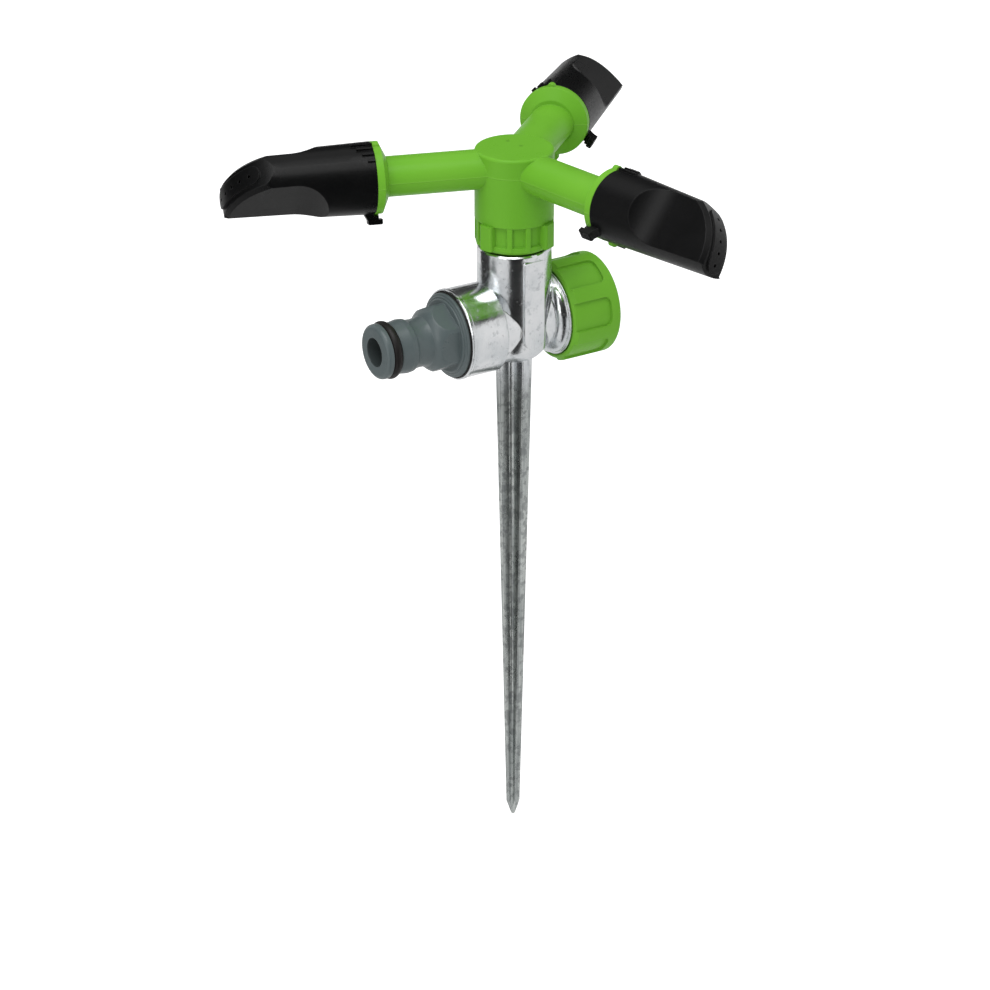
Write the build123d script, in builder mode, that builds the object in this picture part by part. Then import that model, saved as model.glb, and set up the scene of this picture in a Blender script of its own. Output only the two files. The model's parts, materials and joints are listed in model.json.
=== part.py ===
from build123d import *
import os
from math import asin, cos, degrees, hypot, radians, sin, tan

# Three-arm rotary lawn sprinkler on a ground spike, in millimetres.
# Origin: on the spike's axis at ground level. +Z is up, the hose inlet points along -X
# and the capped outlet along +X.

# ---------------------------------------------------------------- driving dimensions
INLET_Z = 13.0  # height of the common inlet and outlet axis
COLUMN_R = 10.75
COLUMN_TOP = 36.3
BOWL_R = 9.5  # radius that rounds the foot of the column
BOWL_BOTTOM = 0.7

BOSS_R = 13.28  # inlet boss
BOSS_FRONT = -21.7
BOSS_BACK = -9.5
BOSS_THREAD_R = 9.9
BOSS_LIP = 1.2
NECK_R = 10.1

STUB_R = 12.60  # outlet stub, drawn at the 3/4 inch thread's pitch diameter
STUB_START = 11.2
STUB_END = 24.0
OUTLET_NECK_R = 9.6

WATERWAY_R = 6.0
RISER_R = 4.2

PAD_HALF_WIDTH = 3.33
PAD_FACE_Y = -11.2
PAD_BOTTOM = 7.7
PAD_TOP = 34.4

SPIKE_END = -149.8
SPIKE_BEVEL = 5.4  # length of the chisel point
SPIKE_HALF_X = 5.75
SPIKE_HALF_Y = 6.8
SPIKE_FIN = 2.3
SPIKE_TAPER = 0.32  # end size as a share of the root size
SPIKE_POINT_R = 0.6

NOSE_TIP = -46.4  # hose connector
NOSE_R = 8.0
NOSE_BORE_R = 4.25
GROOVE_FRONT = -44.4
GROOVE_BACK = -41.2
GROOVE_R = 5.4
LATCH_R = 7.75
CONNECTOR_NECK_R = 7.2
BARREL_R = 10.0
BARREL_START = -26.8
BARREL_END = -23.6
LATCH_END = -36.9
NECK_FRONT = -35.7
NECK_BACK = -30.8
NOSE_ROUND = 1.2
FUNNEL_FRONT = -24.0
FUNNEL_BACK = -20.0
HEX_FLAT = 8.95
CONNECTOR_FLANGE_R = 12.29
WASHER_FACE = -22.05
WASHER_R = 12.6
WASHER_THICK = 1.2
CONNECTOR_END = -12.5

CAP_R = 14.85
CAP_MOUTH = 11.8
CAP_END = 27.6
CAP_WALL = 1.6
CAP_THREAD_CLEARANCE = 0.1
CAP_PANELS = 7
CAP_PANEL_ANGLE = 34.0
CAP_PANEL_CENTRE = 170.5
CAP_PANEL_DEPTH = 0.75
CAP_PANEL_END = 24.2
CAP_PANEL_CORNER = 1.8

JOURNAL_R = 5.6  # hollow spindle that the rotor turns on
SPINDLE_THREAD_R = 4.9
SPINDLE_BORE_R = 3.4
SPINDLE_SEAT = 34.0
SPINDLE_BOTTOM = 23.0
HEAD_R = 7.8
HEAD_BOTTOM = 40.5
HEAD_TOP = 42.7
SPINDLE_NOSE_R = 5.0
SPINDLE_NOSE_TOP = 49.5

RING_BOTTOM = 36.9  # castellated retainer ring
RING_TOP = 45.1
RING_R = 11.3
RING_CORE_R = 10.35
RING_RIM = 2.3
RING_LUG_R = 12.5
RING_MIRROR = 245.3  # direction of the pattern's plane of symmetry
RIB_SPREAD = 14.0
RIB_WIDTH = 1.7
RIB_ROUND = 0.4
RIB_DROP = 0.9  # how far above the rim's foot the ribs start
LUG_SPREAD = 49.0
LUG_WIDTH = 4.3
LUG_ROUND = 0.75

HUB_R = 11.35
HUB_TOP = 65.6
HUB_SKIRT_R = 9.4
HUB_EDGE = 0.8
HUB_ROOF = 1.6
RUNNING_GAP = 0.06

ARM_Z = 59.85
ARM_ANGLES = {"a": 41.08, "b": 161.08, "c": 281.08}
ARM_HALF_WIDTH = 6.5
ARM_HALF_HEIGHT = 5.65
ARM_BORE_R = 3.9
FLANGE_R = 10.26
FLANGE_BACK = 39.1
FLANGE_FRONT = 41.2
FLANGE_CONE_BACK = 37.4
FLANGE_CONE_LIP = 0.3
POINTER_NUB_R = 11.2
STOP_NUB_R = 12.5
NUB_WIDTH = 2.4
NUB_BACK = 39.5

SPIGOT_R = 7.5
SPIGOT_END = 53.0
SEAL_START = 45.6
SEAL_WIDTH = 1.9
SEAL_CORD_R = 0.8
SNAP_START = 50.8
SNAP_WIDTH = 1.2
SNAP_R = 7.95

NOZZLE_R = 10.3
NOZZLE_BACK = 41.35
BLADE_TILT = 50.0  # elevation of the blade, and of its jets, above the tangent
BLADE_HALF = 5.2
NOZZLE_TAPER = 1.55  # degrees that its round side leans in towards the tip
TIP_CORNER = 1.2
END_CHAMFER = 1.1
SCOOP_START = 54.9
SCOOP_END = 64.4
NOZZLE_BEYOND = 100.0  # past the nozzle's end, for cuts
SWEEP_CENTRE = (63.7, -8.7)
SWEEP_R = 19.3
SOCKET_R = 7.58
SOCKET_FLOOR = 53.3
CHAMBER_SIDE = 3.6  # wall at the chamber's sides
CHAMBER_HALF_THICK = 3.4
CHAMBER_WALL = 2.4
ISLAND_HALF = 2.8
ISLAND_HEIGHT = 0.5
ISLAND_FROM = 1.0
ISLAND_TO = 59.0
JET_R = 0.5
JETS = 5
JET_FIRST = 8.0
JET_PITCH = 10.3
SCALE_RIBS = 4
SCALE_PITCH = 12.0
SCALE_LONGEST = 6.0
SCALE_STEP = 1.3
SCALE_HEIGHT = 0.55
SCALE_WIDTH = 0.8
POINTER_ANGLE = 84.0
STOP_ANGLE = 270.0
HOOK_ANGLES = (207.5, 284.5)
HOOK_WIDTH = 2.8
HOOK_INNER = 10.75
HOOK_OUTER = 13.2
HOOK_BACK = 38.9
HOOK_HEEL = 40.0
HOOK_FRONT = 43.1
HOOK_GUSSET = 44.4

os.makedirs("parts", exist_ok=True)


def save(builder, name):
    """Labels a finished piece with its node's name and writes it."""
    builder.part.label = name
    export_step(builder.part, f"parts/{name}.step")


def along_x(x):
    """Plane across the inlet and outlet axis at the station x, its normal along +X."""
    return Plane(origin=(x, 0, INLET_Z), x_dir=(0, 1, 0), z_dir=(1, 0, 0))


def profile_plane():
    """Plane through the inlet and outlet axis: first axis along X, second axis up from the axis line."""
    return Plane(origin=(0, 0, INLET_Z), x_dir=(1, 0, 0), z_dir=(0, -1, 0))


INLET_AXIS = Axis((0, 0, INLET_Z), (1, 0, 0))


def outward(angle):
    """Unit vector from the rotor's axis along the arm at this angle."""
    return (cos(radians(angle)), sin(radians(angle)), 0)


def arm_plane(angle, reach):
    """Plane across an arm: x along the turning direction, y up, normal outward."""
    x, y, _ = outward(angle)
    origin = (x * reach, y * reach, ARM_Z)
    return Plane(origin=origin, x_dir=(-y, x, 0), z_dir=(x, y, 0))


# ---------------------------------------------------------------- base casting with its spike
def spike_section(height, share):
    """Plus-shaped spike section, with filleted valleys, scaled by share."""
    fin = SPIKE_FIN * (0.45 + 0.55 * share)
    with BuildSketch(Plane.XY.offset(height)) as section:
        Rectangle(2 * SPIKE_HALF_X * share, fin)
        Rectangle(fin, 2 * SPIKE_HALF_Y * share)
        inner = [v for v in section.vertices() if hypot(v.X, v.Y) < fin]
        fillet(inner, 1.5 * share)
        outer = [v for v in section.vertices() if hypot(v.X, v.Y) > 0.8 * SPIKE_HALF_X * share]
        fillet(outer, 0.3 * share)
    return section.sketch


with BuildPart() as base_casting:
    # column, rounded like a bowl at its foot and bevelled at its top
    with BuildSketch(Plane.XZ) as column_profile:
        with BuildLine():
            start = (COLUMN_R - BOWL_R, BOWL_BOTTOM)
            side = (COLUMN_R, BOWL_BOTTOM + BOWL_R)
            Line((0, BOWL_BOTTOM), start)
            RadiusArc(start, side, -BOWL_R)
            Polyline(side, (COLUMN_R, COLUMN_TOP - 0.5), (COLUMN_R - 0.4, COLUMN_TOP), (0, COLUMN_TOP))
            Line((0, COLUMN_TOP), (0, BOWL_BOTTOM))
        make_face()
    revolve(axis=Axis.Z)
    # inlet neck, boss and the lip round its mouth
    with BuildSketch(profile_plane()) as boss_profile:
        with BuildLine():
            Polyline(
                (0, 0),
                (BOSS_FRONT, 0),
                (BOSS_FRONT, BOSS_R - 0.35),
                (BOSS_FRONT + 0.35, BOSS_R),
                (BOSS_FRONT + BOSS_LIP, BOSS_R),
                (BOSS_FRONT + BOSS_LIP + 0.15, BOSS_R - 0.18),
                (BOSS_BACK - 0.4, BOSS_R - 0.18),
                (BOSS_BACK, BOSS_R - 0.6),
                (BOSS_BACK, NECK_R),
                (0, NECK_R),
                close=True,
            )
        make_face()
    revolve(axis=INLET_AXIS)
    # outlet neck flaring to the threaded stub
    with BuildSketch(profile_plane()) as stub_profile:
        with BuildLine():
            flare = (STUB_START, STUB_R - 0.5)
            Line((0, 0), (0, OUTLET_NECK_R))
            Line((0, OUTLET_NECK_R), (STUB_START - 2.9, OUTLET_NECK_R))
            RadiusArc((STUB_START - 2.9, OUTLET_NECK_R), flare, 3.0)
            Polyline(flare, (STUB_START + 0.3, STUB_R), (STUB_END - 0.8, STUB_R), (STUB_END, STUB_R - 0.8))
            Polyline((STUB_END, STUB_R - 0.8), (STUB_END, 0), (0, 0))
        make_face()
    revolve(axis=INLET_AXIS)
    # flat pad along the front of the column
    pad_height = PAD_TOP - PAD_BOTTOM
    with BuildSketch(Plane.XZ.offset(-PAD_FACE_Y)) as pad:
        with Locations((0, (PAD_TOP + PAD_BOTTOM) / 2)):
            Rectangle(2 * PAD_HALF_WIDTH, pad_height)
        fillet(pad.vertices().group_by(Axis.Y)[0], PAD_HALF_WIDTH - 0.25)
        fillet(pad.vertices().group_by(Axis.Y)[-1], 0.6)
    extrude(amount=-3)
    # spike
    loft([spike_section(BOWL_BOTTOM + 4, 1.0), spike_section(SPIKE_END, SPIKE_TAPER)])
    with BuildSketch(Plane.XZ):
        Polygon(
            (SPIKE_POINT_R, SPIKE_END - 1),
            (SPIKE_POINT_R, SPIKE_END),
            (SPIKE_HALF_Y * SPIKE_TAPER + 0.2, SPIKE_END + SPIKE_BEVEL),
            (COLUMN_R, SPIKE_END + SPIKE_BEVEL),
            (COLUMN_R, SPIKE_END - 1),
            align=None,
        )
    revolve(axis=Axis.Z, mode=Mode.SUBTRACT)
    # waterways: hose thread, cross passage, riser, spindle thread and its seat
    with BuildSketch(along_x(STUB_END)):
        Circle(WATERWAY_R)
    extrude(amount=-(STUB_END - CONNECTOR_END + 1), mode=Mode.SUBTRACT)
    with BuildSketch(along_x(BOSS_FRONT)):
        Circle(BOSS_THREAD_R)
    extrude(amount=CONNECTOR_END + 0.6 - BOSS_FRONT, mode=Mode.SUBTRACT)
    with BuildSketch(along_x(BOSS_FRONT)):
        Circle(WASHER_R + 0.05)
    extrude(amount=WASHER_THICK - (BOSS_FRONT - WASHER_FACE), mode=Mode.SUBTRACT)
    with BuildSketch(Plane.XY.offset(INLET_Z)):
        Circle(RISER_R)
    extrude(amount=COLUMN_TOP - INLET_Z, mode=Mode.SUBTRACT)
    with BuildSketch(Plane.XY.offset(SPINDLE_BOTTOM - 1.5)):
        Circle(SPINDLE_THREAD_R)
    extrude(amount=COLUMN_TOP - SPINDLE_BOTTOM + 1.5, mode=Mode.SUBTRACT)
    with BuildSketch(Plane.XY.offset(SPINDLE_SEAT - 1.0)):
        Circle(JOURNAL_R + 0.2)
    extrude(amount=COLUMN_TOP - SPINDLE_SEAT + 1.0, mode=Mode.SUBTRACT)
save(base_casting, "base_casting")

# ---------------------------------------------------------------- hose connector, its o-ring and washer
with BuildPart() as inlet_connector:
    with BuildSketch(profile_plane()) as connector_profile:
        with BuildLine():
            tip = (NOSE_TIP, NOSE_R - NOSE_ROUND)
            shoulder = (NOSE_TIP + NOSE_ROUND, NOSE_R)
            Line((NOSE_TIP, NOSE_BORE_R), tip)
            RadiusArc(tip, shoulder, NOSE_ROUND)
            Polyline(
                shoulder,
                (GROOVE_FRONT, NOSE_R),
                (GROOVE_FRONT, GROOVE_R),
                (GROOVE_BACK, GROOVE_R),
                (GROOVE_BACK, LATCH_R - 0.35),
                (GROOVE_BACK + 1.6, LATCH_R - 0.15),
                (LATCH_END - 0.9, LATCH_R + 0.1),
                (LATCH_END, LATCH_R),
            )
            neck_front = (NECK_FRONT, CONNECTOR_NECK_R + 0.1)
            neck_back = (NECK_BACK, CONNECTOR_NECK_R + 0.2)
            RadiusArc((LATCH_END, LATCH_R), neck_front, 1.5)
            RadiusArc(neck_front, neck_back, -9.0)
            RadiusArc(neck_back, (BARREL_START, BARREL_R), 6.0)
            Polyline(
                (BARREL_START, BARREL_R),
                (BARREL_END, BARREL_R),
                (BARREL_END, 10.4),
                (BARREL_END + 0.15, 10.75),
                (BARREL_END + 0.4, 10.75),
                (BARREL_END + 0.45, 11.35),
                (BARREL_END + 0.65, 11.55),
                (BARREL_END + 0.75, CONNECTOR_FLANGE_R - 0.2),
                (BARREL_END + 0.9, CONNECTOR_FLANGE_R),
                (WASHER_FACE, CONNECTOR_FLANGE_R),
                (WASHER_FACE, BOSS_THREAD_R - 0.05),
                (CONNECTOR_END, BOSS_THREAD_R - 0.05),
                (CONNECTOR_END, WATERWAY_R),
                (FUNNEL_BACK, WATERWAY_R),
                (FUNNEL_FRONT, NOSE_BORE_R),
                (NOSE_TIP, NOSE_BORE_R),
            )
        make_face()
    revolve(axis=INLET_AXIS)
    # six spanner flats, two of them facing the sides
    with BuildSketch(along_x(NECK_BACK)):
        Circle(BOSS_R)
        RegularPolygon(HEX_FLAT, 6, major_radius=False, rotation=30, mode=Mode.SUBTRACT)
    extrude(amount=BARREL_END - NECK_BACK, mode=Mode.SUBTRACT)
save(inlet_connector, "inlet_connector")

ring_cord = (GROOVE_BACK - GROOVE_FRONT) / 2 - 0.1
with BuildPart() as connector_o_ring:
    with BuildSketch(profile_plane()):
        with Locations(((GROOVE_FRONT + GROOVE_BACK) / 2, GROOVE_R + ring_cord)):
            Circle(ring_cord)
    revolve(axis=INLET_AXIS)
save(connector_o_ring, "connector_o_ring")

with BuildPart() as inlet_washer:
    with BuildSketch(along_x(WASHER_FACE)):
        Circle(WASHER_R)
        Circle(BOSS_THREAD_R + 0.1, mode=Mode.SUBTRACT)
    extrude(amount=WASHER_THICK)
save(inlet_washer, "inlet_washer")

# ---------------------------------------------------------------- outlet cap and its washer
with BuildPart() as cap_panel:
    # one grip recess: a sector of a ring with rounded rear corners
    with BuildSketch(profile_plane()):
        with Locations(((CAP_MOUTH + CAP_PANEL_END) / 2 - 1, CAP_R + 1 - CAP_PANEL_DEPTH)):
            Rectangle(CAP_PANEL_END - CAP_MOUTH + 2, 2)
    revolve(axis=INLET_AXIS, revolution_arc=CAP_PANEL_ANGLE)
    rear = cap_panel.edges().filter_by(GeomType.LINE).group_by(Axis.X)[-1]
    fillet(rear, CAP_PANEL_CORNER)

with BuildPart() as outlet_cap:
    with BuildSketch(profile_plane()) as cap_profile:
        with BuildLine():
            bore = STUB_R + CAP_THREAD_CLEARANCE
            Polyline(
                (CAP_MOUTH, bore + 0.35),
                (CAP_MOUTH, bore + 0.75),
                (CAP_MOUTH + 1.1, CAP_R),
                (CAP_END - 1.3, CAP_R),
            )
            RadiusArc((CAP_END - 1.3, CAP_R), (CAP_END, CAP_R - 1.3), 1.3)
            Polyline(
                (CAP_END, CAP_R - 1.3),
                (CAP_END, 0),
                (CAP_END - CAP_WALL, 0),
                (CAP_END - CAP_WALL, bore),
                (CAP_MOUTH + 0.35, bore),
                (CAP_MOUTH, bore + 0.35),
            )
        make_face()
    revolve(axis=INLET_AXIS)
    for k in range(CAP_PANELS):
        # the recess is drawn from the upper profile line, at 90 degrees about the axis
        turn = CAP_PANEL_CENTRE - 90 - CAP_PANEL_ANGLE / 2 + k * 360 / CAP_PANELS
        add(cap_panel.part.rotate(INLET_AXIS, turn), mode=Mode.SUBTRACT)
save(outlet_cap, "outlet_cap")

with BuildPart() as cap_washer:
    with BuildSketch(along_x(STUB_END)):
        Circle(STUB_R - 0.1)
        Circle(WATERWAY_R + 1, mode=Mode.SUBTRACT)
    extrude(amount=CAP_END - CAP_WALL - STUB_END)
save(cap_washer, "cap_washer")


# ---------------------------------------------------------------- spindle, gasket, thrust washers and seal
def flat_ring(outer, inner, low, high):
    """A flat washer on the rotor's axis."""
    with BuildPart() as washer:
        with BuildSketch(Plane.XY.offset(low)):
            Circle(outer)
            Circle(inner, mode=Mode.SUBTRACT)
        extrude(amount=high - low)
    return washer


with BuildPart() as spindle:
    with BuildSketch(Plane.XZ):
        with BuildLine():
            Polyline(
                (SPINDLE_BORE_R, SPINDLE_BOTTOM),
                (SPINDLE_THREAD_R - 0.6, SPINDLE_BOTTOM),
                (SPINDLE_THREAD_R - 0.05, SPINDLE_BOTTOM + 0.6),
                (SPINDLE_THREAD_R - 0.05, SPINDLE_SEAT),
                (JOURNAL_R, SPINDLE_SEAT),
                (JOURNAL_R, HEAD_BOTTOM),
                (HEAD_R, HEAD_BOTTOM),
                (HEAD_R, HEAD_TOP),
                (SPINDLE_NOSE_R, HEAD_TOP),
                (SPINDLE_NOSE_R, SPINDLE_NOSE_TOP - 0.6),
                (SPINDLE_NOSE_R - 0.6, SPINDLE_NOSE_TOP),
                (SPINDLE_BORE_R, SPINDLE_NOSE_TOP),
                close=True,
            )
        make_face()
    revolve(axis=Axis.Z)
    # two opposite flats on the head, for the assembly spanner
    with BuildSketch(Plane.XY.offset(HEAD_BOTTOM)):
        Circle(HEAD_R + 1)
        Rectangle(2 * HEAD_R + 4, 2 * (HEAD_R - 0.8), mode=Mode.SUBTRACT)
    extrude(amount=HEAD_TOP - HEAD_BOTTOM, mode=Mode.SUBTRACT)
save(spindle, "spindle")

spindle_gasket = flat_ring(JOURNAL_R + 0.15, SPINDLE_THREAD_R, SPINDLE_SEAT - 1.0, SPINDLE_SEAT)
save(spindle_gasket, "spindle_gasket")

WEB_TOP = HEAD_BOTTOM - 0.9
lower_thrust_washer = flat_ring(HEAD_R, JOURNAL_R + RUNNING_GAP, WEB_TOP + 0.1, HEAD_BOTTOM)
save(lower_thrust_washer, "lower_thrust_washer")

SEAL_POCKET = HEAD_TOP + 0.7
upper_thrust_washer = flat_ring(HEAD_R, SPINDLE_NOSE_R + 0.1, HEAD_TOP, SEAL_POCKET - 0.1)
save(upper_thrust_washer, "upper_thrust_washer")

SEAL_R = 0.9
with BuildPart() as rotor_seal:
    with BuildSketch(Plane.XZ):
        with Locations((SPINDLE_NOSE_R + SEAL_R + 0.05, SEAL_POCKET + SEAL_R + 0.05)):
            Circle(SEAL_R)
    revolve(axis=Axis.Z)
save(rotor_seal, "rotor_seal")

# ---------------------------------------------------------------- castellated retainer ring
with BuildPart() as retainer_ring:
    with BuildSketch(Plane.XZ):
        with BuildLine():
            Polyline(
                (JOURNAL_R + RUNNING_GAP, RING_BOTTOM),
                (RING_R - 1.0, RING_BOTTOM),
                (RING_R - 0.25, RING_BOTTOM + 0.9),
                (RING_R - 0.25, RING_BOTTOM + RING_RIM - 0.2),
                (RING_CORE_R, RING_BOTTOM + RING_RIM),
                (RING_CORE_R, RING_TOP),
                (HUB_SKIRT_R, RING_TOP),
                (HUB_SKIRT_R, WEB_TOP),
                (JOURNAL_R + RUNNING_GAP, WEB_TOP),
                close=True,
            )
        make_face()
    revolve(axis=Axis.Z)
    # ribs between the recesses, and four wide grip lugs
    ribs = [(a + s * RIB_SPREAD, RIB_WIDTH, RING_R, RIB_ROUND) for a in (0, 90, 180, 270) for s in (-1, 1)]
    lugs = [(a + s * LUG_SPREAD, LUG_WIDTH, RING_LUG_R, LUG_ROUND) for a in (0, 180) for s in (-1, 1)]
    for angle, width, reach, corner in ribs + lugs:
        depth = reach - HUB_SKIRT_R - 0.15
        with BuildSketch(Plane.XY.offset(RING_BOTTOM + RIB_DROP)):
            with PolarLocations(reach - depth / 2, 1, start_angle=RING_MIRROR + angle):
                RectangleRounded(depth, width, corner)
        extrude(amount=RING_TOP - RING_BOTTOM - RIB_DROP)
save(retainer_ring, "retainer_ring")

# ---------------------------------------------------------------- rotor: hub, three arms, flanges and spigots
with BuildPart() as rotor_hub:
    with BuildSketch(Plane.XY.offset(RING_TOP)):
        Circle(HUB_R)
    extrude(amount=HUB_TOP - RING_TOP)
    fillet(rotor_hub.edges().group_by(Axis.Z)[-1], HUB_EDGE)
    with BuildSketch(Plane.XY.offset(WEB_TOP)):
        Circle(HUB_SKIRT_R)
    extrude(amount=RING_TOP - WEB_TOP)
    for angle in ARM_ANGLES.values():
        with BuildSketch(arm_plane(angle, 0)):
            Ellipse(ARM_HALF_WIDTH, ARM_HALF_HEIGHT)
        extrude(amount=FLANGE_BACK)
        # flange with a conical back, and a pointer nub and a stop nub on its rim
        with BuildSketch(arm_plane(angle, FLANGE_BACK)):
            Circle(FLANGE_R)
        extrude(amount=FLANGE_FRONT - FLANGE_BACK)
        with BuildSketch(arm_plane(angle, FLANGE_CONE_BACK)):
            Circle(ARM_HALF_WIDTH + FLANGE_CONE_LIP)
        with BuildSketch(arm_plane(angle, FLANGE_BACK)):
            Circle(FLANGE_R)
        loft()
        for nub, reach in ((POINTER_ANGLE, POINTER_NUB_R), (STOP_ANGLE, STOP_NUB_R)):
            with BuildSketch(arm_plane(angle, NUB_BACK)):
                with PolarLocations(reach - NUB_WIDTH / 2, 1, start_angle=nub):
                    Circle(NUB_WIDTH / 2)
                with PolarLocations(reach - NUB_WIDTH, 1, start_angle=nub):
                    Rectangle(NUB_WIDTH, NUB_WIDTH)
            extrude(amount=FLANGE_FRONT - NUB_BACK)
        # spigot with a seal groove and a snap bead
        with BuildSketch(arm_plane(angle, FLANGE_FRONT)):
            Circle(SPIGOT_R)
        extrude(amount=SPIGOT_END - FLANGE_FRONT)
        with BuildSketch(arm_plane(angle, SEAL_START)):
            Circle(SPIGOT_R)
            Circle(SPIGOT_R - 2 * SEAL_CORD_R + 0.05, mode=Mode.SUBTRACT)
        extrude(amount=SEAL_WIDTH, mode=Mode.SUBTRACT)
        with BuildSketch(arm_plane(angle, SNAP_START)):
            Circle(SNAP_R)
        extrude(amount=SNAP_WIDTH)
        with BuildSketch(arm_plane(angle, 0)):
            Circle(ARM_BORE_R)
        extrude(amount=SPIGOT_END, mode=Mode.SUBTRACT)
    # cavities on the hub's axis, each narrower than the one below it
    for radius, low, high in (
        (HEAD_R + 0.3, WEB_TOP, SEAL_POCKET),
        (SPINDLE_NOSE_R + 2 * SEAL_R + 0.1, SEAL_POCKET, SEAL_POCKET + 2 * SEAL_R + 0.1),
        (SPINDLE_NOSE_R + RUNNING_GAP, SEAL_POCKET, HUB_TOP - HUB_ROOF),
    ):
        with BuildSketch(Plane.XY.offset(low)):
            Circle(radius)
        extrude(amount=high - low, mode=Mode.SUBTRACT)
save(rotor_hub, "rotor_hub")


# ---------------------------------------------------------------- nozzles and their o-rings
# A nozzle is drawn with X along its arm, Y across the blade towards the jets and Z square to the flats.
def sweep_point(angle, radius):
    """Point of the swept blade end, at an angle about the sweep's centre."""
    return (SWEEP_CENTRE[0] + radius * cos(radians(angle)), SWEEP_CENTRE[1] + radius * sin(radians(angle)))


def nozzle_radius(x):
    """Radius of the nozzle's round body, which tapers towards the tip."""
    return NOZZLE_R - tan(radians(NOZZLE_TAPER)) * (x - NOZZLE_BACK)


def side_angle(radius, side, inset):
    """Angle on the sweep at which it crosses the body's side, set in by inset; side is 1 or -1."""
    angle = 45.0
    for _ in range(20):
        half = nozzle_radius(sweep_point(angle, radius)[0]) - inset
        angle = degrees(asin((side * half - SWEEP_CENTRE[1]) / radius))
    return angle


def blade_plan(radius, inset, start, corner=0):
    """Sketch in the plane of the flats: tapering sides, an arc across the end and a rounded tip corner."""
    top, low = side_angle(radius, 1, inset), side_angle(radius, -1, inset)
    half = nozzle_radius(start) - inset
    with BuildSketch(Plane.XY) as plan:
        with BuildLine():
            Line((start, half), sweep_point(top, radius))
            ThreePointArc(*(sweep_point(angle, radius) for angle in (top, (top + low) / 2, low)))
            Polyline(sweep_point(low, radius), (start, -half), (start, half))
        make_face()
        if corner:
            fillet(plan.vertices().sort_by(Axis.X)[-1], corner)
    return plan.sketch


def across(reach):
    """Plane across the nozzle at this reach, normal outward, y square to the flats."""
    return Plane(origin=(reach, 0, 0), x_dir=(0, 1, 0), z_dir=(1, 0, 0))


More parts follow.
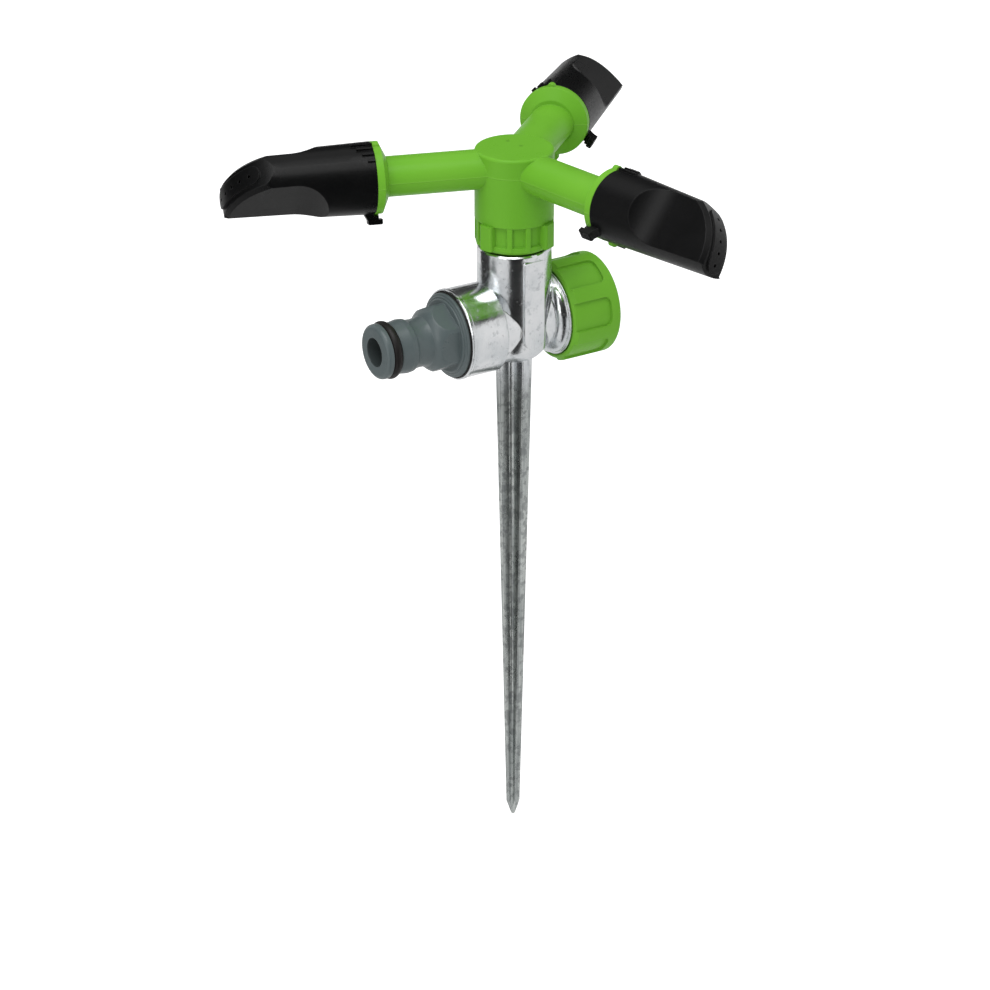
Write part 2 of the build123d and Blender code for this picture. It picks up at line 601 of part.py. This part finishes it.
with BuildPart() as nozzle_shape:
    with BuildSketch(across(NOZZLE_BACK)):
        Circle(NOZZLE_R)
    extrude(amount=SWEEP_CENTRE[0] + SWEEP_R + 1 - NOZZLE_BACK, taper=NOZZLE_TAPER)
    # the scoops that leave the flat blade
    for side in (1, -1):
        with BuildSketch(Plane.XZ) as scoop:
            with BuildLine():
                lip = (SCOOP_START, side * (nozzle_radius(SCOOP_START) + 0.01))
                flat = (SCOOP_END, side * BLADE_HALF)
                rise = nozzle_radius(SCOOP_START) + 0.01 - BLADE_HALF
                run = SCOOP_END - SCOOP_START
                RadiusArc(lip, flat, -side * (run**2 + rise**2) / (2 * rise))
                Polyline(
                    flat,
                    (NOZZLE_BEYOND, side * BLADE_HALF),
                    (NOZZLE_BEYOND, side * 2 * NOZZLE_R),
                    (SCOOP_START, side * 2 * NOZZLE_R),
                    lip,
                )
            make_face()
        extrude(amount=2 * NOZZLE_R, both=True, mode=Mode.SUBTRACT)
    # the end, swept from the jet side round to the tip
    outline = blade_plan(SWEEP_R, -0.02, NOZZLE_BACK - 5, corner=TIP_CORNER)
    extrude(outline, amount=2 * NOZZLE_R, both=True, mode=Mode.INTERSECT)
    end_edges = [
        e for e in nozzle_shape.edges() if e.center().X > 74 and abs(abs(e.center().Z) - BLADE_HALF) < 0.01
    ]
    chamfer(end_edges, END_CHAMFER)
    # raised island that the jets come through
    with BuildSketch(Plane.XY.offset(-ISLAND_HALF)):
        with BuildLine():
            inner, outer = SWEEP_R - 0.6, SWEEP_R + ISLAND_HEIGHT
            mid = (ISLAND_FROM + ISLAND_TO) / 2
            ThreePointArc(*(sweep_point(a, outer) for a in (ISLAND_FROM, mid, ISLAND_TO)))
            ThreePointArc(*(sweep_point(a, inner) for a in (ISLAND_FROM, mid, ISLAND_TO)))
            Line(sweep_point(ISLAND_FROM, inner), sweep_point(ISLAND_FROM, outer))
            Line(sweep_point(ISLAND_TO, inner), sweep_point(ISLAND_TO, outer))
        make_face()
    island = extrude(amount=2 * ISLAND_HALF, mode=Mode.PRIVATE)
    ends = island.edges().filter_by(lambda e: e.length < ISLAND_HEIGHT + 0.7)
    add(island.fillet(ISLAND_HALF - 0.1, ends.filter_by(lambda e: abs(e.center().Z) > ISLAND_HALF - 0.01)))
    # socket for the spigot, with the snap groove, and the water chamber behind the jets
    with BuildSketch(across(NOZZLE_BACK)):
        Circle(SOCKET_R)
    extrude(amount=SOCKET_FLOOR - NOZZLE_BACK, mode=Mode.SUBTRACT)
    with BuildSketch(across(SNAP_START - 0.2)):
        Circle(SNAP_R + 0.1)
    extrude(amount=SNAP_WIDTH + 0.4, mode=Mode.SUBTRACT)
    chamber = blade_plan(SWEEP_R - CHAMBER_WALL, CHAMBER_SIDE, SOCKET_FLOOR - 1)
    extrude(chamber, amount=CHAMBER_HALF_THICK, both=True, mode=Mode.SUBTRACT)
    for k in range(JETS):
        angle = JET_FIRST + k * JET_PITCH
        x, y = sweep_point(angle, SWEEP_R - CHAMBER_WALL - 1)
        direction = (cos(radians(angle)), sin(radians(angle)), 0)
        with BuildSketch(Plane(origin=(x, y, 0), z_dir=direction)):
            Circle(JET_R)
        extrude(amount=CHAMBER_WALL + ISLAND_HEIGHT + 2, mode=Mode.SUBTRACT)
    # scale ribs that pass the pointer nub, shorter and shorter
    for k in range(SCALE_RIBS):
        angle = POINTER_ANGLE - BLADE_TILT - k * SCALE_PITCH
        with BuildSketch(across(NOZZLE_BACK)):
            with PolarLocations(NOZZLE_R + SCALE_HEIGHT - 1, 1, start_angle=angle):
                Rectangle(2, SCALE_WIDTH)
        extrude(amount=SCALE_LONGEST - k * SCALE_STEP)
    # stop hooks that straddle the lower nub, reaching back over the flange's rim
    for hook in HOOK_ANGLES:
        angle = radians(hook - BLADE_TILT)
        radial = Plane(origin=(0, 0, 0), x_dir=(1, 0, 0), z_dir=(0, -sin(angle), cos(angle)))
        with BuildSketch(radial):
            with BuildLine():
                Polyline(
                    (NOZZLE_BACK, NOZZLE_R - 0.8),
                    (NOZZLE_BACK, HOOK_INNER),
                    (HOOK_HEEL, HOOK_INNER),
                    (HOOK_HEEL, HOOK_OUTER - 1.5),
                    (HOOK_BACK, HOOK_OUTER - 1.5),
                    (HOOK_BACK, HOOK_OUTER - 0.3),
                    (HOOK_BACK + 0.3, HOOK_OUTER),
                    (HOOK_FRONT - 0.3, HOOK_OUTER),
                    (HOOK_FRONT, HOOK_OUTER - 0.3),
                    (HOOK_FRONT, HOOK_OUTER - 1.2),
                    (HOOK_GUSSET, NOZZLE_R - 0.8),
                    close=True,
                )
            make_face()
        extrude(amount=HOOK_WIDTH / 2, both=True)

with BuildPart() as seal_shape:
    with BuildSketch(Plane.XZ):
        with Locations((SEAL_START + SEAL_WIDTH / 2, SPIGOT_R + 0.05 - SEAL_CORD_R)):
            Circle(SEAL_CORD_R)
    revolve(axis=Axis.X)

for letter, angle in ARM_ANGLES.items():
    x, y, _ = outward(angle)
    rise, lean = sin(radians(BLADE_TILT)), cos(radians(BLADE_TILT))
    # the flats' normal leans back from vertical by the blade's tilt
    place = Plane(origin=(0, 0, ARM_Z), x_dir=(x, y, 0), z_dir=(y * rise, -x * rise, lean)).location
    with BuildPart() as nozzle:
        add(place * nozzle_shape.part)
    save(nozzle, f"nozzle_{letter}")
    with BuildPart() as nozzle_o_ring:
        add(place * seal_shape.part)
    save(nozzle_o_ring, f"nozzle_{letter}_o_ring")
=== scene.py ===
import json
import math

import bpy
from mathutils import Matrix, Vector


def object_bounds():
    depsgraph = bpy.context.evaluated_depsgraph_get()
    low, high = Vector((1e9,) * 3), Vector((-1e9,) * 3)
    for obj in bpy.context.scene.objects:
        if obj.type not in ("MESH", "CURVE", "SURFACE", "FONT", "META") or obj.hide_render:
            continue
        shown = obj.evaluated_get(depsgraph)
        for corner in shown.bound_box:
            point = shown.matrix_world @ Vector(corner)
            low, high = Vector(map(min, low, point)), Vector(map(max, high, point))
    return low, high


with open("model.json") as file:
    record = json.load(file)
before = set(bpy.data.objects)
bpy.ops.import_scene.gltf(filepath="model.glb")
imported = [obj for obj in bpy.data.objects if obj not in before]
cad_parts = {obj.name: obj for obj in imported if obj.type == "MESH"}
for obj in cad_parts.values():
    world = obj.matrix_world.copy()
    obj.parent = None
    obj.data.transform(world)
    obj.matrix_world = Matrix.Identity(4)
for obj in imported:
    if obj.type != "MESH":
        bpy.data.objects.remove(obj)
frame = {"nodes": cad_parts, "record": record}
nodes = frame["nodes"]
cad_low, cad_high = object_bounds()
scene = bpy.context.scene

# Heights and points on the object, in metres in the shared frame.
FLOOR_Z = cad_low.z
ARM_HEIGHT = 0.05985  # of the arms' axes, where their two mould halves meet
HUB_TOP = 0.0656
INLET_HEIGHT = 0.013  # of the hose inlet's axis
INLET_MOUTH_X = -0.0470
BORE_RADIUS = 0.0044
GROUND_LINE = (0.002, -0.012)  # where the bright casting fades into the dull spike


# ---------------------------------------------------------------- shader helpers
class Shader:
    """A small builder for one procedural material."""

    def __init__(self, name):
        self.material = bpy.data.materials.new(name)
        self.material.use_nodes = True
        self.tree = self.material.node_tree
        self.bsdf = self.tree.nodes["Principled BSDF"]
        self.coords = self.tree.nodes.new("ShaderNodeTexCoord").outputs["Object"]

    def node(self, kind, inputs=None, **settings):
        """Adds a node, sets its settings, and fills its inputs with values or links."""
        made = self.tree.nodes.new(kind)
        for key, value in settings.items():
            setattr(made, key, value)
        for key, value in (inputs or {}).items():
            self.put(made.inputs[key], value)
        return made

    def put(self, socket, value):
        if isinstance(value, bpy.types.NodeSocket):
            self.tree.links.new(value, socket)
        else:
            socket.default_value = value

    def mapped(self, scale=(1, 1, 1), turn=(0, 0, 0)):
        """Object coordinates in metres, scaled and turned."""
        return self.node(
            "ShaderNodeMapping", {"Vector": self.coords, "Scale": scale, "Rotation": turn}
        ).outputs[0]

    def noise(self, scale, detail=3.0, rough=0.55, stretch=(1, 1, 1), turn=(0, 0, 0)):
        """Fractal noise from 0 to 1, with its features drawn out along the axes where stretch is small."""
        inputs = {"Vector": self.mapped(stretch, turn), "Scale": scale, "Detail": detail, "Roughness": rough}
        return self.node("ShaderNodeTexNoise", inputs).outputs["Fac"]

    def cells(self, scale):
        """Distance to the nearest of many scattered points."""
        return self.node("ShaderNodeTexVoronoi", {"Vector": self.coords, "Scale": scale}).outputs["Distance"]

    def ramp(self, value, low, high, out_low=0.0, out_high=1.0):
        """A smooth step from out_low to out_high as the value goes from low to high."""
        inputs = {"Value": value, "From Min": low, "From Max": high, "To Min": out_low, "To Max": out_high}
        return self.node("ShaderNodeMapRange", inputs, interpolation_type="SMOOTHSTEP").outputs[0]

    def math(self, operation, a, b=0.0):
        return self.node("ShaderNodeMath", {0: a, 1: b}, operation=operation).outputs[0]

    def both(self, a, b):
        return self.math("MULTIPLY", a, b)

    def split(self):
        """The X, Y and Z outputs of the object coordinates."""
        return self.node("ShaderNodeSeparateXYZ", {0: self.coords}).outputs

    def mix(self, share, a, b):
        """Mixes two colours by a share from 0 to 1."""
        made = self.node("ShaderNodeMix", data_type="RGBA")
        self.put(made.inputs[0], share)
        self.put(made.inputs[6], a)
        self.put(made.inputs[7], b)
        return made.outputs[2]

    def edge(self, radius):
        """1 on convex and concave edges, 0 on open faces; and the normal with its edges rounded."""
        rounded = self.node("ShaderNodeBevel", {"Radius": radius}, samples=6).outputs[0]
        normal = self.node("ShaderNodeNewGeometry").outputs["Normal"]
        product = self.node("ShaderNodeVectorMath", {0: rounded, 1: normal}, operation="DOT_PRODUCT")
        return self.ramp(product.outputs["Value"], 0.995, 0.86), rounded

    def bump(self, height, strength, distance, normal=None):
        inputs = {"Height": height, "Strength": strength, "Distance": distance}
        if normal is not None:
            inputs["Normal"] = normal
        return self.node("ShaderNodeBump", inputs).outputs[0]

    def surface(self, **inputs):
        names = {
            "color": "Base Color",
            "metal": "Metallic",
            "rough": "Roughness",
            "normal": "Normal",
            "specular": "Specular IOR Level",
        }
        for key, value in inputs.items():
            self.put(self.bsdf.inputs[names[key]], value)
        return self.material


def rgb(r, g, b):
    return (r, g, b, 1.0)


# ---------------------------------------------------------------- materials
def zinc():
    """Bright zinc die casting above ground, duller and darker on the spike."""
    s = Shader("zinc")
    height = s.split()["Z"]
    casting_z, spike_z = GROUND_LINE
    spike = s.ramp(height, casting_z, spike_z)
    cloud = s.noise(75, 4.0, 0.6)
    mottle = s.noise(420, 3.0, 0.65)
    pits = s.both(s.ramp(s.cells(850), 0.17, 0.06), s.ramp(s.noise(120, 2.0), 0.47, 0.6))
    scratch_a = s.noise(700, 2.0, 0.6, (1, 1, 0.04), (0.35, 0.1, 0.4))
    scratch_b = s.noise(800, 2.0, 0.6, (0.05, 1, 1), (0.2, 0.5, 1.1))
    scratches = s.math("MAXIMUM", s.ramp(scratch_a, 0.66, 0.74), s.ramp(scratch_b, 0.67, 0.75))
    scratches = s.both(scratches, s.ramp(height, spike_z, casting_z, 0.2, 1.0))
    drawn = s.noise(900, 3.0, 0.6, (1, 1, 0.03))
    edge, rounded = s.edge(0.00035)

    bright = s.mix(s.ramp(cloud, 0.3, 0.7), rgb(0.86, 0.87, 0.88), rgb(0.66, 0.69, 0.71))
    bright = s.mix(s.both(s.ramp(mottle, 0.52, 0.72), 0.45), bright, rgb(0.36, 0.39, 0.41))
    dull = s.mix(s.ramp(drawn, 0.35, 0.65), rgb(0.60, 0.63, 0.61), rgb(0.35, 0.375, 0.37))
    dull = s.mix(s.ramp(mottle, 0.46, 0.60, 0.0, 0.55), dull, rgb(0.16, 0.17, 0.175))
    color = s.mix(spike, bright, dull)
    color = s.mix(s.both(pits, 0.6), color, rgb(0.12, 0.13, 0.14))
    color = s.mix(s.both(edge, 0.5), color, rgb(0.86, 0.87, 0.88))

    rough = s.math("ADD", s.ramp(cloud, 0.3, 0.75, 0.14, 0.26), s.both(spike, 0.09))
    rough = s.math("ADD", rough, s.both(scratches, 0.14))
    rough = s.math("ADD", rough, s.ramp(mottle, 0.5, 0.75, 0.0, 0.12))
    normal = s.bump(s.noise(260, 3.0), 0.5, 0.00014, rounded)
    normal = s.bump(s.noise(2600, 2.0), 0.3, 0.00002, normal)
    normal = s.bump(s.math("MAXIMUM", scratches, pits), -0.4, 0.00004, normal)
    return s.surface(color=color, metal=1.0, rough=rough, normal=normal)


def moulded(
    name, base, pale, worn, rough, specular=0.5, texture=1500, parting=None, gates=(), painted_bore_shade=False
):
    """Injection-moulded plastic: faint flow clouding, a fine spark texture, dust specks and worn, paler edges.
    base and pale are the two tones of the clouding, and rough is the range of the roughness.
    With parting, a hair-thin mould line runs round the piece at that height.
    gates are points where the plastic was fed in, each a small dimple.
    The bore option paints shade near-black inside the hose inlet's waterway."""
    s = Shader(name)
    flow = s.noise(38, 3.0, 0.5, (1, 1, 0.6))
    grain = s.noise(texture, 2.0, 0.6)
    dust = s.ramp(s.cells(620), 0.075, 0.03)
    edge, rounded = s.edge(0.0003)
    color = s.mix(s.ramp(flow, 0.3, 0.7), base, pale)
    color = s.mix(s.both(edge, 0.35), color, worn)
    color = s.mix(s.both(dust, 0.12), color, worn)
    roughness = s.math("ADD", s.ramp(flow, 0.3, 0.7, *rough), s.ramp(grain, 0.3, 0.7, -0.03, 0.05))
    normal = s.bump(grain, 0.3, 0.00002, rounded)
    normal = s.bump(s.noise(150, 2.0), 0.2, 0.00006, normal)
    if parting is not None:
        away = s.math("ABSOLUTE", s.math("SUBTRACT", s.split()["Z"], parting))
        line = s.ramp(away, 0.00022, 0.00006)
        color = s.mix(s.both(line, 0.3), color, worn)
        normal = s.bump(line, 0.6, 0.00012, normal)
    if painted_bore_shade:
        # Painted shade: inside the hose inlet's waterway, past its mouth, the colour is painted near-black.
        place = s.split()
        rise = s.math("SUBTRACT", place["Z"], INLET_HEIGHT)
        square = s.math("ADD", s.both(rise, rise), s.both(place["Y"], place["Y"]))
        shade_in_bore = s.ramp(s.math("SQRT", square), BORE_RADIUS, BORE_RADIUS - 0.0003)
        shade_in_bore = s.both(shade_in_bore, s.ramp(place["X"], INLET_MOUTH_X, INLET_MOUTH_X + 0.0012))
        color = s.mix(shade_in_bore, color, rgb(0.006, 0.0055, 0.0035))
    for gate in gates:
        span = s.node("ShaderNodeVectorMath", {0: s.coords, 1: gate}, operation="DISTANCE")
        dimple = s.ramp(span.outputs["Value"], 0.00085, 0.0003)
        color = s.mix(s.both(dimple, 0.5), color, rgb(*(0.4 * part for part in base[:3])))
        normal = s.bump(dimple, -0.8, 0.00025, normal)
    return s.surface(color=color, rough=roughness, normal=normal, specular=specular)


MATERIALS = {
    "zinc": zinc(),
    "green_plastic": moulded(
        "green_plastic",
        base=rgb(0.118, 0.345, 0.022),
        pale=rgb(0.132, 0.365, 0.026),
        worn=rgb(0.20, 0.46, 0.060),
        rough=(0.30, 0.38),
        specular=0.12,
        parting=ARM_HEIGHT,
        gates=((0.0011, 0.0053, HUB_TOP), (0.0022, 0.0, HUB_TOP)),
    ),
    "black_plastic": moulded(
        "black_plastic",
        base=rgb(0.0020, 0.0022, 0.0022),
        pale=rgb(0.0034, 0.0034, 0.0036),
        worn=rgb(0.020, 0.020, 0.021),
        rough=(0.27, 0.37),
        specular=0.15,
    ),
    "grey_plastic": moulded(
        "grey_plastic",
        base=rgb(0.072, 0.093, 0.096),
        pale=rgb(0.086, 0.108, 0.111),
        worn=rgb(0.17, 0.20, 0.20),
        rough=(0.30, 0.40),
        specular=0.4,
        # Paints shade inside the hose inlet's waterway.
        painted_bore_shade=True,
    ),
    "rubber": moulded(
        "rubber",
        base=rgb(0.006, 0.005, 0.0045),
        pale=rgb(0.010, 0.008, 0.007),
        worn=rgb(0.03, 0.027, 0.025),
        rough=(0.45, 0.6),
        specular=0.3,
        texture=1100,
    ),
    "acetal": moulded(
        "acetal",
        base=rgb(0.74, 0.73, 0.68),
        pale=rgb(0.78, 0.77, 0.73),
        worn=rgb(0.84, 0.83, 0.80),
        rough=(0.36, 0.46),
    ),
}
SLOTS = {part["node"]: part["material_slot"] for part in frame["record"]["subparts"]}
for name, obj in nodes.items():
    obj.data.materials.clear()
    obj.data.materials.append(MATERIALS[SLOTS[name]])


# ---------------------------------------------------------------- studio
def paint(name, color, strength=0.0):
    """A plain matt material that may also glow white."""
    material = bpy.data.materials.new(name)
    material.use_nodes = True
    bsdf = material.node_tree.nodes["Principled BSDF"]
    bsdf.inputs["Base Color"].default_value = color
    bsdf.inputs["Roughness"].default_value = 0.8
    bsdf.inputs["Emission Color"].default_value = rgb(1, 1, 1)
    bsdf.inputs["Emission Strength"].default_value = strength
    return material


def sheet_mesh(name, corners, material):
    """One flat face in the studio."""
    mesh = bpy.data.meshes.new(name)
    mesh.from_pydata(corners, [], [tuple(range(len(corners)))])
    mesh.materials.append(material)
    obj = bpy.data.objects.new(name, mesh)
    scene.collection.objects.link(obj)
    return obj


def area_light(name, place, aim, size, power):
    data = bpy.data.lights.new(name, "AREA")
    data.shape = "RECTANGLE"
    data.size, data.size_y = size
    data.energy = power
    obj = bpy.data.objects.new(name, data)
    obj.location = place
    obj.rotation_euler = (Vector(aim) - Vector(place)).to_track_quat("-Z", "Y").to_euler()
    scene.collection.objects.link(obj)
    return obj


CAMERA_SIDE = 238.34  # direction from the object to the camera, in degrees from +X
FLOOR_REACH = 6.0


def floor(name, tone, glow, seen=False, lights=False, mirrors=False):
    """A plain floor under the object, seen by the camera, by diffuse light or by reflections only."""
    reach = FLOOR_REACH
    corners = [(x, y, FLOOR_Z) for x, y in ((-reach, -reach), (reach, -reach), (reach, reach), (-reach, reach))]
    made = sheet_mesh(name, corners, paint(name, rgb(tone, tone, tone), glow))
    made.visible_camera = seen
    made.visible_diffuse = lights
    made.visible_glossy = mirrors
    made.visible_shadow = lights
    return made


floor("floor", 0.5, 1.0, seen=True)
floor("floor_bounce", 0.8, 0.0, lights=True)
floor("floor_mirror", 0.5, 0.42, mirrors=True)
world = bpy.data.worlds.new("studio")
world.use_nodes = True
world.node_tree.nodes["Background"].inputs["Color"].default_value = rgb(1, 1, 1)
world.node_tree.nodes["Background"].inputs["Strength"].default_value = 0.8
scene.world = world
area_light("top", place=(-0.3, -0.2, 1.1), aim=(0, 0, 0), size=(0.9, 0.9), power=8.6)
area_light("left", place=(-1.1, -0.5, 0.5), aim=(0, 0, 0), size=(0.5, 0.9), power=2.5)


def flag(name, turn, half_turn, near, far, low, high):
    """A black card beside the object, seen only in reflections.
    It stands turn degrees round from the camera and reaches half_turn to each side. Its lower edge is near
    metres out at height low, and its upper edge far metres out at height high."""
    corners = []
    for side, distance, z in ((-1, near, low), (1, near, low), (1, far, high), (-1, far, high)):
        angle = math.radians(CAMERA_SIDE + turn + side * half_turn)
        corners.append((distance * math.cos(angle), distance * math.sin(angle), z))
    card = sheet_mesh(name, corners, paint(name, rgb(0.01, 0.01, 0.01)))
    card.visible_camera = card.visible_diffuse = card.visible_shadow = False


flag("dark_side", 6, 21, 0.32, 0.33, FLOOR_Z, 0.0)
flag("dark_high", 8, 34, 0.33, 0.38, 0.0, 0.40)
flag("dark_front", 6, 19, 0.06, 0.32, FLOOR_Z + 0.001, FLOOR_Z + 0.001)
flag("dark_back", -100, 22, 0.36, 0.36, FLOOR_Z, 0.5)
flag("dark_far", 180, 38, 0.5, 0.55, 0.08, 0.5)

# ---------------------------------------------------------------- camera
# Fitted to edges of the object in the photograph.
AZIMUTH, ELEVATION, DISTANCE = math.radians(-31.66), math.radians(25.25), 1.19715
TARGET = Vector((-0.004655, 0.002871, -0.042945))
back = Vector(
    (
        math.sin(AZIMUTH) * math.cos(ELEVATION),
        -math.cos(AZIMUTH) * math.cos(ELEVATION),
        math.sin(ELEVATION),
    )
)
camera_data = bpy.data.cameras.new("camera")
camera_data.sensor_width = 36.0
camera_data.lens = 148.27
camera_data.clip_start = 0.05
camera = bpy.data.objects.new("camera", camera_data)
camera.location = TARGET + back * DISTANCE
camera.rotation_mode = "QUATERNION"
camera.rotation_quaternion = (-back).to_track_quat("-Z", "Y")
scene.collection.objects.link(camera)
scene.camera = camera
scene.view_settings.view_transform = "Standard"
